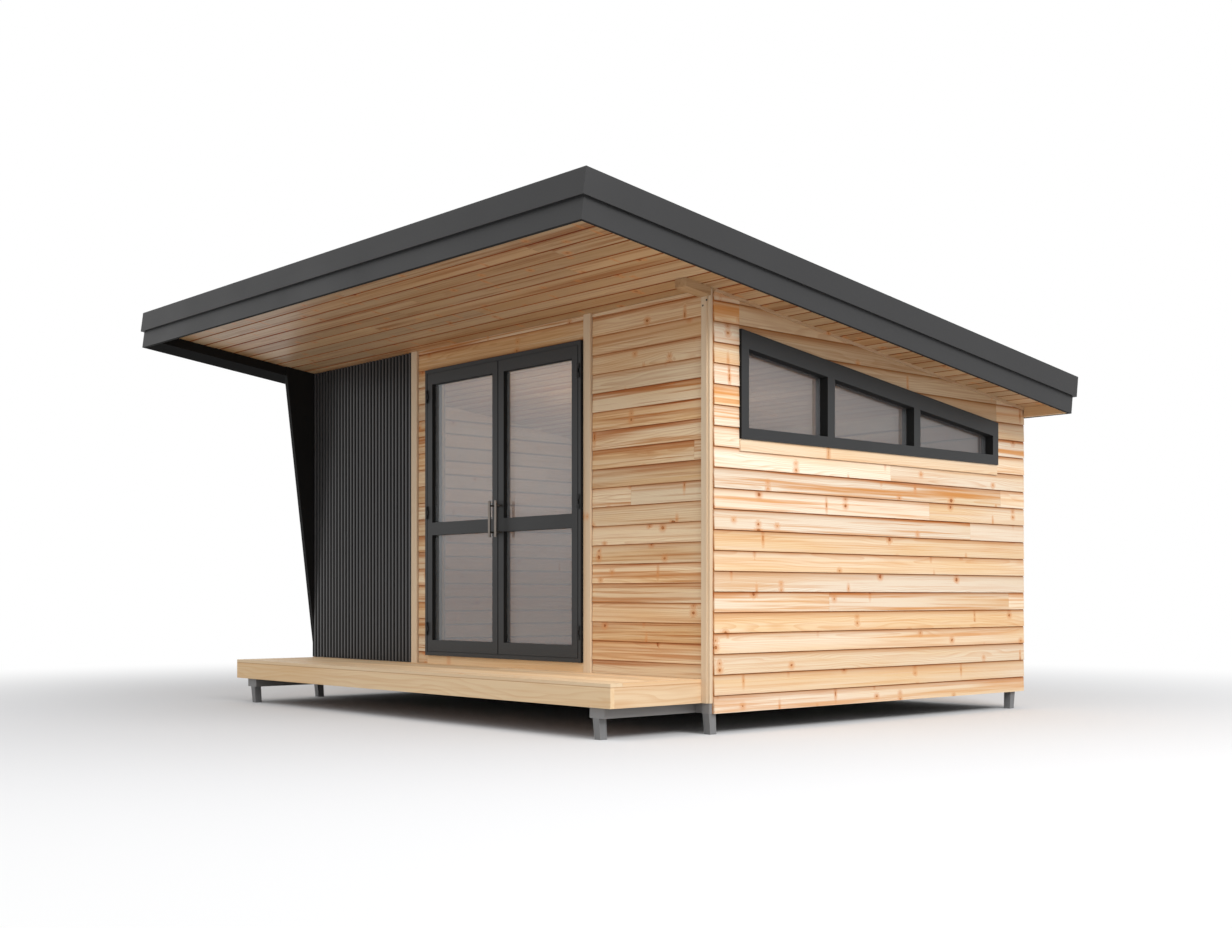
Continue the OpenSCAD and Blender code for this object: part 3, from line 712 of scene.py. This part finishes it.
# Nearly black, for painted shade
BLACK = (0.004, 0.004, 0.004, 1)
KNOT_DARK, KNOT_LIGHT, KNOT_HALO = srgb(150, 80, 32), srgb(222, 148, 76), srgb(220, 148, 84)
FIBRE_LIGHT = srgb(255, 244, 224)
# Colours by which the wood's tone is multiplied for the least and the most hue
HUES = ((1.0, 1.0, 1.0, 1), (1.01, 0.97, 0.92, 1))
FRAME_GREY = srgb(36, 37, 38)

# Woods of the boards and of the CAD's own trims: pale, warm and heart wood, share of knots, and what differs
# from pine's own values. A groove colour is that of painted shade and dark joints towards the grooves
BOARD_WOODS = {
    "siding": dict(wood=(srgb(253, 238, 216), srgb(247, 215, 170), srgb(222, 146, 62)),
                   knots=0.62, streaks=1.0, spread=0.15),
    "front": dict(wood=(srgb(250, 230, 196), srgb(237, 197, 143), srgb(194, 122, 50)),
                  knots=0.6, streaks=1.5, groove=(0.66, 0.32, 0.1, 1)),
    # The head wood, over the window, is darker as painted shade under the eave
    "head": dict(wood=(srgb(236, 212, 178), srgb(224, 188, 146), srgb(188, 130, 76)),
                 knots=0.3, groove=(0.66, 0.4, 0.2, 1)),
    "soffit": dict(wood=(srgb(220, 190, 150), srgb(203, 163, 113), srgb(168, 106, 50)),
                   knots=0.8, streaks=1.3, spread=0.2, groove=(0.55, 0.22, 0.06, 1), rough=0.42, sheen=0.45),
    "deck": dict(wood=(srgb(250, 226, 190), srgb(244, 212, 168), srgb(220, 168, 110)),
                 knots=0.1, streaks=0.6),
    "lining": dict(wood=(srgb(238, 218, 188), srgb(230, 202, 164), srgb(206, 152, 98)),
                   knots=0.35, groove=(0.2, 0.16, 0.16, 1)),
}
TRIM_WOODS = {
    "trim": dict(axis="z", wood=(srgb(237, 219, 192), srgb(231, 207, 176), srgb(210, 170, 126)),
                 knots=0.08, streaks=0.5),
    "rim": dict(axis="x", wood=(srgb(244, 216, 176), srgb(238, 203, 155), srgb(224, 176, 120)), knots=0.1),
    "end": dict(axis="y", wood=(srgb(238, 212, 176), srgb(230, 194, 152), srgb(206, 150, 94)), knots=0.1),
    # The shade and beam woods, of the frieze and the beam end, are darker as painted shade under the eave
    "shade": dict(axis="y", wood=(srgb(226, 200, 168), srgb(212, 180, 140), srgb(180, 126, 78)), knots=0.1),
    "beam": dict(axis="y", wood=(srgb(206, 174, 134), srgb(190, 154, 112), srgb(156, 108, 62)), knots=0.1),
    "apron": dict(axis="y", wood=(srgb(250, 232, 206), srgb(244, 212, 170), srgb(222, 156, 84)),
                  knots=0.2, streaks=0.6),
}
TRIM_NODES = {
    "trim": ["corner_post", "door_trim_left", "door_trim_right", "front_wall_left", "front_wall_right",
             "door_header", "left_wall", "back_wall", "right_wall_lower", "right_wall_piers",
             "right_wall_header"],
    "rim": ["door_sill", "deck_rim_front", "soffit_end_board"],
    "end": ["deck_rim_ends"],
    "shade": ["frieze_board"],
    "beam": ["beam_end"],
    "apron": ["window_apron"],
}
# Order of a place's coordinates with the fibres first, for fibres along each axis
FIBRES_FIRST = {"x": (0, 1, 2), "y": (1, 0, 2), "z": (2, 0, 1)}
# Tone, heartwood share and hue of a CAD node's wood
MIDDLE_LOOK = (0.5, 0.35, 0.5)


class Shader:
    """A material with short ways to add its nodes. Sockets are given as sockets or as plain values."""

    def __init__(self, name):
        self.material = bpy.data.materials.new(name)
        self.material.use_nodes = True
        self.tree = self.material.node_tree
        self.tree.nodes.clear()
        self.surface = self.tree.nodes.new("ShaderNodeOutputMaterial").inputs["Surface"]

    def node(self, kind, values=(), **settings):
        """A node with its settings, and its inputs linked or set."""
        n = self.tree.nodes.new("ShaderNode" + kind)
        for key, value in settings.items():
            setattr(n, key, value)
        for key, value in dict(values).items():
            if isinstance(value, bpy.types.NodeSocket):
                self.tree.links.new(value, n.inputs[key])
            else:
                n.inputs[key].default_value = value
        return n

    def math(self, operation, *values):
        """Result of a maths node."""
        return self.node("Math", dict(enumerate(values)), operation=operation).outputs[0]

    def vector(self, operation, *values):
        """Vector result of a vector maths node."""
        return self.node("VectorMath", dict(enumerate(values)), operation=operation).outputs["Vector"]

    def measure(self, operation, *values):
        """Number result of a vector maths node, such as a length."""
        return self.node("VectorMath", dict(enumerate(values)), operation=operation).outputs["Value"]

    def parts(self, vector):
        """The three numbers of a vector."""
        return self.node("SeparateXYZ", {0: vector}).outputs

    def object_place(self):
        """Place in the part's own frame, which is the model's frame at rest."""
        return self.node("TexCoord").outputs["Object"]

    def noise(self, vector, scale, detail=2.0, roughness=0.5):
        """Noise from 0 to 1 with its own scale along each axis."""
        values = {"Vector": self.vector("MULTIPLY", vector, scale), "Scale": 1.0, "Detail": detail,
                  "Roughness": roughness}
        return self.node("TexNoise", values).outputs["Fac"]

    def mix(self, factor, a, b, blend="MIX"):
        """Mix of two colours."""
        return self.node("Mix", {0: factor, 6: a, 7: b}, data_type="RGBA", blend_type=blend).outputs[2]

    def range(self, value, low, high, to_low=0.0, to_high=1.0, smooth=True):
        """A number moved from one range to another, and held at its ends."""
        kind = "SMOOTHSTEP" if smooth else "LINEAR"
        values = {0: value, 1: low, 2: high, 3: to_low, 4: to_high}
        return self.node("MapRange", values, interpolation_type=kind).outputs[0]

    def bump(self, height, distance, strength):
        """Normal of a bumpy surface."""
        values = {"Height": height, "Distance": distance, "Strength": strength}
        return self.node("Bump", values).outputs[0]

    def finish(self, **values):
        """Ends in a Principled surface. Underscores stand for spaces in the names of its inputs."""
        named = {key.replace("_", " "): value for key, value in values.items()}
        shader = self.node("BsdfPrincipled", named)
        self.tree.links.new(shader.outputs[0], self.surface)
        return self.material


def grain_coordinates(s, axis):
    """Position in the wood, fibres along X, and the board's own look: from attributes, or from one axis."""
    if axis == "board":
        grain = s.node("Attribute", attribute_name="grain").outputs["Vector"]
        look = s.node("Attribute", attribute_name="look").outputs["Vector"]
        return grain, s.parts(look)
    parts = s.parts(s.object_place())
    grain = s.node("CombineXYZ", {i: parts[k] for i, k in enumerate(FIBRES_FIRST[axis])}).outputs[0]
    look = s.node("CombineXYZ", dict(enumerate(MIDDLE_LOOK))).outputs[0]
    return grain, s.parts(look)


def pine(name, wood, knots, axis="board", streaks=0.8, spread=0.14, groove=(0.55, 0.3, 0.14, 1), rough=0.55,
         sheen=0.3):
    """Planed pine. Its colours are those of pale, warm and heart wood.

    It has year rings of a round log, broad and narrow streaks of heartwood, knots, fine fibres, and painted
    shade towards the grooves, with dark joints in them. Boards differ in tone by the spread."""
    pale, warm, heart = wood
    s = Shader(name)
    grain, look = grain_coordinates(s, axis)
    tone, heartwood, hue = look[0], look[1], look[2]

    knot, halo, knot_tone = knot_masks(s, grain, knots)
    late = year_rings(s, grain, halo)
    patches = s.noise(grain, PATCHES)
    broad = s.noise(grain, BROAD_STREAKS, detail=3.0, roughness=0.55)
    narrow = s.noise(grain, NARROW_STREAKS, detail=3.0, roughness=0.6)
    fibre = s.noise(grain, FIBRES)

    # Warm patches, then streaks of heart and pale wood, late wood and light fibres
    warmth = s.math("ADD", patches, s.math("MULTIPLY", hue, HUE_WARMTH))
    amount = s.math("MULTIPLY", s.range(heartwood, *HEART_STRENGTHS, smooth=False), streaks)
    thin = s.math("ADD", s.math("MULTIPLY", amount, NARROW_PART), NARROW_LEAST * streaks)
    colour = s.mix(s.range(warmth, *WARM), pale, warm)
    for pattern, strength, tint in (
        (s.range(broad, *BROAD_HEART), amount, heart),
        (s.range(broad, *BROAD_PALE), BROAD_PALE_MIX, pale),
        (s.range(narrow, *NARROW_HEART), thin, heart),
        (s.range(narrow, *NARROW_PALE), NARROW_PALE_MIX, pale),
        (late, LATE_MIX, heart),
        (fibre, FIBRE_MIX, FIBRE_LIGHT),
    ):
        colour = s.mix(s.math("MULTIPLY", pattern, strength), colour, tint)

    # The board's own tone and hue
    level = s.range(tone, 0, 1, 1 - spread, 1 + spread * LIGHTER, smooth=False)
    grey = s.node("CombineColor", {0: level, 1: level, 2: level}).outputs[0]
    colour = s.mix(1.0, colour, grey, "MULTIPLY")
    colour = s.mix(1.0, colour, s.mix(hue, *HUES), "MULTIPLY")

    # Stained wood and knots, then painted shade towards the grooves, and dark joints in them
    colour = s.mix(s.math("MULTIPLY", halo, STAIN_MIX), colour, KNOT_HALO)
    colour = s.mix(knot, colour, s.mix(knot_tone, KNOT_DARK, KNOT_LIGHT))
    dark = s.node("Attribute", attribute_name="dark").outputs["Fac"]
    colour = s.mix(dark, colour, s.mix(1.0, colour, groove, "MULTIPLY"))

    # Raised fibres and late wood, sunken knots, dull grooves
    height = s.math("ADD", s.math("MULTIPLY", fibre, FIBRE_RELIEF), s.math("MULTIPLY", late, LATE_RELIEF))
    height = s.math("SUBTRACT", height, s.math("MULTIPLY", knot, KNOT_RELIEF))
    roughness = s.range(fibre, *FIBRE_SPAN, rough - FIBRE_ROUGHNESS, rough + FIBRE_ROUGHNESS, smooth=False)
    roughness = s.math("MAXIMUM", roughness, s.math("MULTIPLY", dark, GROOVE_ROUGHNESS))
    return s.finish(
        Base_Color=colour, Roughness=roughness, Normal=s.bump(height, distance=0.0006, strength=0.5),
        Specular_IOR_Level=sheen)


def year_rings(s, grain, halo):
    """Late wood of the year rings, which wave and bend round the knots."""
    xyz = s.parts(grain)
    wave = s.math("MULTIPLY", s.math("SUBTRACT", s.noise(grain, RING_WAVES), 0.5), RING_WAVE)
    across = s.math("POWER", s.math("ADD", xyz[1], wave), 2.0)
    deep = s.math("POWER", s.math("ADD", xyz[2], wave), 2.0)
    radius = s.math("SQRT", s.math("ADD", across, deep))
    radius = s.math("ADD", radius, s.math("MULTIPLY", halo, RING_PUSH))
    turn = s.math("FRACT", s.math("DIVIDE", radius, YEAR_RING))
    return s.math("MULTIPLY", s.range(turn, *LATE_COMES), s.range(turn, *LATE_ENDS))


def knot_masks(s, grain, knots):
    """Masks of the knots and of the stained wood round them, and the knots' tone.

    One cell in a few holds a knot, or a pair. Some are round, and some are cut lengthwise and run across the
    board."""
    along_cells, across_cells = KNOT_CELLS
    cells = s.vector("MULTIPLY", grain, (along_cells, across_cells, 1))
    field = s.node("TexVoronoi", {"Vector": cells, "Scale": 1.0}, voronoi_dimensions="2D")
    centre = s.vector("MULTIPLY", field.outputs["Position"], (1 / along_cells, 1 / across_cells, 0))
    chance = s.node("SeparateColor", {0: field.outputs["Color"]}).outputs
    long = s.range(chance[2], *LONG_KNOTS)

    away = s.parts(s.vector("SUBTRACT", s.vector("MULTIPLY", grain, (1, 1, 0)), centre))
    along = s.math("MULTIPLY", away[0], s.range(long, 0, 1, *KNOT_ALONG, smooth=False))
    paired = s.math("MULTIPLY", s.math("LESS_THAN", chance[0], knots * PAIRS), PAIR_APART)
    apart = s.math("SUBTRACT", s.math("ABSOLUTE", away[1]), paired)
    across = s.math("MULTIPLY", apart, s.range(long, 0, 1, *KNOT_ACROSS, smooth=False))
    distance = s.measure("LENGTH", s.node("CombineXYZ", {0: along, 1: across}).outputs[0])
    uneven = s.math("SUBTRACT", s.noise(grain, KNOT_EDGES), 0.5)
    distance = s.math("ADD", distance, s.math("MULTIPLY", uneven, KNOT_WANDER))

    there = s.math("LESS_THAN", chance[0], knots)
    size = s.range(s.math("POWER", chance[1], 2.0), 0, 1, *KNOT_RADII, smooth=False)
    smaller = s.math("MULTIPLY", paired, SECOND_SMALLER / PAIR_APART)
    smaller = s.math("MULTIPLY", s.math("GREATER_THAN", away[1], 0.0), smaller)
    size = s.math("MULTIPLY", size, s.math("SUBTRACT", 1.0, smaller))
    edge = s.math("SUBTRACT", distance, size)
    knot = s.math("MULTIPLY", s.range(edge, *KNOT_FADE), s.math("MULTIPLY", there, KNOT_COVER))
    halo = s.math("MULTIPLY", s.range(edge, STAIN_W, 0.0), there)
    rings = s.range(s.noise(grain, KNOT_RINGS), *NOISE_SPAN, *KNOT_TONES)
    tone = s.math("ADD", s.math("MULTIPLY", chance[1], -LARGE_DARKER), rings)
    return knot, halo, s.math("MAXIMUM", tone, 0.0)


def dark_shade_timber(name, colour):
    """Sawn timber, dark as painted shade, for the parts under the floor."""
    s = Shader(name)
    saw = s.noise(s.object_place(), SAW_MARKS, detail=4.0, roughness=0.7)
    tone = s.mix(s.range(saw, *NOISE_SPAN), colour, brighter(colour, SAWN_LIGHTER))
    return s.finish(
        Base_Color=tone, Roughness=0.85, Normal=s.bump(saw, distance=0.001, strength=0.5),
        Specular_IOR_Level=0.2)


def painted(name, colour, roughness, sheen=0.4, shaded=(), front=BEFORE_ALL):
    """Painted or powder-coated metal with a fine grit and faint, broad unevenness.

    Faces that look in a shaded direction of the part's own frame are dull and painted nearly black, as
    shade, save what juts out before the front, such as a hinge."""
    s = Shader(name)
    place, facing = s.object_place(), s.node("TexCoord").outputs["Normal"]
    broad = s.noise(place, PAINT_WAVES, detail=3.0)
    fine = s.noise(place, PAINT_GRIT)
    dark, light = brighter(colour, 1 - PAINT_MOTTLE), brighter(colour, 1 + PAINT_MOTTLE)
    tone = s.mix(s.range(broad, *NOISE_MIDDLE), dark, light)
    smoothest, roughest = roughness - PAINT_ROUGHNESS, roughness + PAINT_ROUGHNESS
    rough = s.range(broad, *NOISE_SPAN, smoothest, roughest, smooth=False)
    behind = s.math("GREATER_THAN", s.parts(place)[1], front)
    for direction in shaded:
        turned = s.measure("DOT_PRODUCT", facing, direction)
        away = s.math("MULTIPLY", s.range(turned, *SHADED), behind)
        tone = s.mix(away, tone, BLACK)
        rough = s.math("MAXIMUM", rough, away)
    return s.finish(
        Base_Color=tone, Roughness=rough, Normal=s.bump(fine, distance=PAINT_GRIT_H, strength=0.6),
        Specular_IOR_Level=sheen)


def ribbed_paint(name, colour):
    """Dark paint of the ribbed panel, dull and painted nearly black between the ribs as their shade."""
    s = Shader(name)
    place = s.object_place()
    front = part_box("ribbed_panel")[0].y
    behind = s.range(s.parts(place)[1], *(front + RIB_D * part for part in RIB_SHADE_DEPTHS))
    broad = s.noise(place, PAINT_WAVES, detail=3.0)
    paint = s.mix(s.range(broad, *NOISE_MIDDLE), colour, brighter(colour, RIB_LIGHTER))
    rough = s.math("MAXIMUM", s.range(broad, *NOISE_SPAN, *RIB_ROUGHNESS, smooth=False), behind)
    return s.finish(Base_Color=s.mix(behind, paint, BLACK), Roughness=rough, Specular_IOR_Level=0.5)


def brushed_steel(name):
    """Satin steel of the handles, brushed along its height."""
    s = Shader(name)
    lines = s.noise(s.object_place(), STEEL_LINES, detail=3.0)
    tone = s.mix(lines, srgb(96, 88, 82), srgb(150, 142, 134))
    rough = s.range(lines, *NOISE_SPAN, *STEEL_ROUGHNESS, smooth=False)
    relief = s.bump(lines, distance=0.0001, strength=0.4)
    return s.finish(Base_Color=tone, Metallic=1.0, Roughness=rough, Normal=relief)


def glass(name, dark, light, cover, low, high):
    """Grey-tinted panes: partly see-through, partly a milky mirror of the surroundings, with faint waves.

    The mirror is painted darker at the low height than at the high one: painted light and shade."""
    s = Shader(name)
    place = s.object_place()
    # Painted light: lighter high up, darker low down
    height = s.range(s.parts(place)[2], low, high)
    painted_light_and_haze = s.math("ADD", height, s.math("MULTIPLY", s.noise(place, GLASS_HAZE), HAZE_MIX))
    wave = s.noise(place, GLASS_WAVES, detail=1.0)
    return s.finish(
        Base_Color=s.mix(s.range(painted_light_and_haze, *HAZE_SPAN), dark, light), Roughness=0.04, Alpha=cover,
        Metallic=0.4, Normal=s.bump(wave, distance=0.001, strength=0.05))


def dress(nodes, material):
    """Gives CAD nodes a material."""
    for name in nodes:
        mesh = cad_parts[name].data
        mesh.materials.clear()
        mesh.materials.append(material)


def nodes_named(*starts):
    """CAD nodes whose names start in one of some ways."""
    return [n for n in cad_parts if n.startswith(starts)]


def make_materials():
    """Gives the CAD nodes their materials, and returns those of the pieces made here."""
    made = {name: pine("pine_" + name, **settings) for name, settings in BOARD_WOODS.items()}
    for name, settings in TRIM_WOODS.items():
        dress(TRIM_NODES[name], pine("pine_" + name, **settings))
    # Dark parts under the floor: painted shade
    dress(["deck_joists", "floor", "roof_core"], dark_shade_timber("dark_painted_shade", srgb(60, 50, 40)))

    # Shaded directions: faces that look down, into the reveals or inwards are painted nearly black as shade
    down, front, back, right, left = (0, 0, -1), (0, -1, 0), (0, 1, 0), (1, 0, 0), (-1, 0, 0)
    dress(nodes_named("fascia_"), painted("fascia_paint", srgb(41, 41, 42), 0.5, shaded=[down]))
    dress(["fascia_left"],
          painted("verge_fascia_paint", srgb(40, 40, 41), 0.5, sheen=0.12, shaded=[down, right]))
    dress(nodes_named("cap_"), painted("cap_paint", srgb(40, 40, 41), 0.5))
    dress(["roof_sheet"], painted("roof_paint", srgb(70, 70, 72), 0.42))
    dress(["ribbed_panel"], ribbed_paint("ribbed_paint", srgb(58, 58, 59)))
    dress(["left_wing", "left_verge"],
          painted("black_paint", srgb(30, 30, 30), 0.6, sheen=0.08, shaded=[down]))
    dress(["window_rails", "window_posts"],
          painted("window_paint", FRAME_GREY, 0.42, shaded=[down, back, front]))
    made["frame"] = painted("door_paint", FRAME_GREY, 0.42, shaded=[down, right, left],
                            front=leaf_box("left")[0].y - JUTTING)
    doors = nodes_named("door_frame_", "left_leaf_", "right_leaf_")
    dress([n for n in doors if "glass" not in n], made["frame"])
    dress(["frame_hinges"], painted("hinge_paint", FRAME_GREY, 0.42))
    made["screw"] = painted("screw_steel", srgb(44, 34, 28), 0.5)
    dress(["legs"], painted("leg_steel", srgb(126, 126, 127), 0.5))
    dress(["side_beams", "cross_beams", "deck_beams"], painted("beam_steel", srgb(138, 137, 137), 0.5))
    dress(["left_handle", "right_handle"], brushed_steel("handle_steel"))

    # The door's panes are lighter than the window's: painted light, for the less lit front
    lo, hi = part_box("window_glass")
    dress(["window_glass"],
          glass("window_glass", srgb(131, 132, 134), srgb(138, 138, 140), cover=0.62, low=lo.z, high=hi.z))
    dress(["left_leaf_glass", "right_leaf_glass"],
          glass("door_glass", srgb(154, 157, 159), srgb(176, 180, 183), cover=0.48, low=0.6, high=1.6))
    return made


# Floor, light and camera

def make_floor():
    """A pale studio floor that keeps the shadow and runs out into white."""
    bm = bmesh.new()
    bmesh.ops.create_circle(bm, cap_ends=True, segments=FLOOR_FACETS, radius=FLOOR_RADIUS)
    mesh = bpy.data.meshes.new("studio_floor")
    bm.to_mesh(mesh)
    bm.free()
    floor = bpy.data.objects.new("studio_floor", mesh)
    floor.location = (0, 0, cad_box[0].z - FLOOR_SINK)
    bpy.context.scene.collection.objects.link(floor)
    s = Shader("studio_floor")
    away = s.range(s.measure("LENGTH", s.object_place()), *FLOOR_FADE)
    path = s.node("LightPath").outputs
    seen = s.math("MAXIMUM", path["Is Camera Ray"], path["Is Glossy Ray"])
    colour = s.mix(seen, FLOOR_BOUNCE, FLOOR_SEEN)
    plain = s.node("BsdfDiffuse", {"Color": colour}).outputs[0]
    white = s.node("Emission", {"Color": (1, 1, 1, 1), "Strength": 1.0}).outputs[0]
    both = s.node("MixShader", {0: s.math("MULTIPLY", away, seen), 1: plain, 2: white}).outputs[0]
    s.tree.links.new(both, s.surface)
    mesh.materials.append(s.material)


def make_world(level):
    """Even surroundings: plain level on the part, pure white where the camera, metal or glass sees them."""
    world = bpy.data.worlds.new("studio")
    bpy.context.scene.world = world
    world.use_nodes = True
    tree = world.node_tree
    tree.nodes.clear()
    path = tree.nodes.new("ShaderNodeLightPath").outputs
    seen = path["Is Camera Ray"]
    for ray in ("Is Transmission Ray", "Is Glossy Ray"):
        either = tree.nodes.new("ShaderNodeMath")
        either.operation = "MAXIMUM"
        tree.links.new(seen, either.inputs[0])
        tree.links.new(path[ray], either.inputs[1])
        seen = either.outputs[0]
    mix = tree.nodes.new("ShaderNodeMixShader")
    tree.links.new(seen, mix.inputs[0])
    for i, strength in ((1, level), (2, 1.0)):
        background = tree.nodes.new("ShaderNodeBackground")
        background.inputs["Color"].default_value = (1, 1, 1, 1)
        background.inputs["Strength"].default_value = strength
        tree.links.new(background.outputs[0], mix.inputs[i])
    output = tree.nodes.new("ShaderNodeOutputWorld")
    tree.links.new(mix.outputs[0], output.inputs["Surface"])


def soft_light(name, at, size, power, towards=LIGHT_AIM):
    """A square studio light aimed at a point."""
    data = bpy.data.lights.new(name, "AREA")
    data.size = size
    data.energy = power
    light = bpy.data.objects.new(name, data)
    light.location = at
    light.rotation_euler = (Vector(towards) - Vector(at)).to_track_quat("-Z", "Y").to_euler()
    bpy.context.scene.collection.objects.link(light)
    return light


def light_room():
    """A faint, even light in the room, aimed at its ceiling, so that its boards show through the panes."""
    middle = ((ROOM_LEFT + ROOM_RIGHT) / 2, (ROOM_FRONT + ROOM_BACK) / 2)
    height = FLOOR + ROOM_LAMP_H
    lamp = soft_light("room", (*middle, height), ROOM_LAMP_SIZE, ROOM_LAMP_POWER, (*middle, height + 1))
    lamp.visible_camera = False
    lamp.visible_glossy = False
    lamp.visible_transmission = False


def make_camera():
    """The photograph's camera: level, turned to the corner of the building, with a raised frame."""
    data = bpy.data.cameras.new("camera")
    data.sensor_width = CAMERA_SENSOR
    data.lens = CAMERA_LENS
    data.shift_y = CAMERA_SHIFT
    data.clip_end = CAMERA_REACH
    camera = bpy.data.objects.new("camera", data)
    camera.location = CAMERA_AT
    camera.rotation_euler = (math.radians(90), 0, math.radians(CAMERA_TURN))
    bpy.context.scene.collection.objects.link(camera)
    bpy.context.scene.camera = camera


make_camera()
bpy.context.scene.view_settings.view_transform = "Standard"
materials = make_materials()
make_siding(materials["siding"], materials["front"], materials["head"])
make_soffit(materials["soffit"])
make_deck(materials["deck"])
make_lining(materials["lining"])
make_floor_boards(materials["lining"])
make_seals(materials["frame"])
make_screws(materials["screw"])
make_floor()
make_world(WORLD_LEVEL)
soft_light("key", *KEY_LIGHT)
soft_light("front", *FRONT_LIGHT)
light_room()
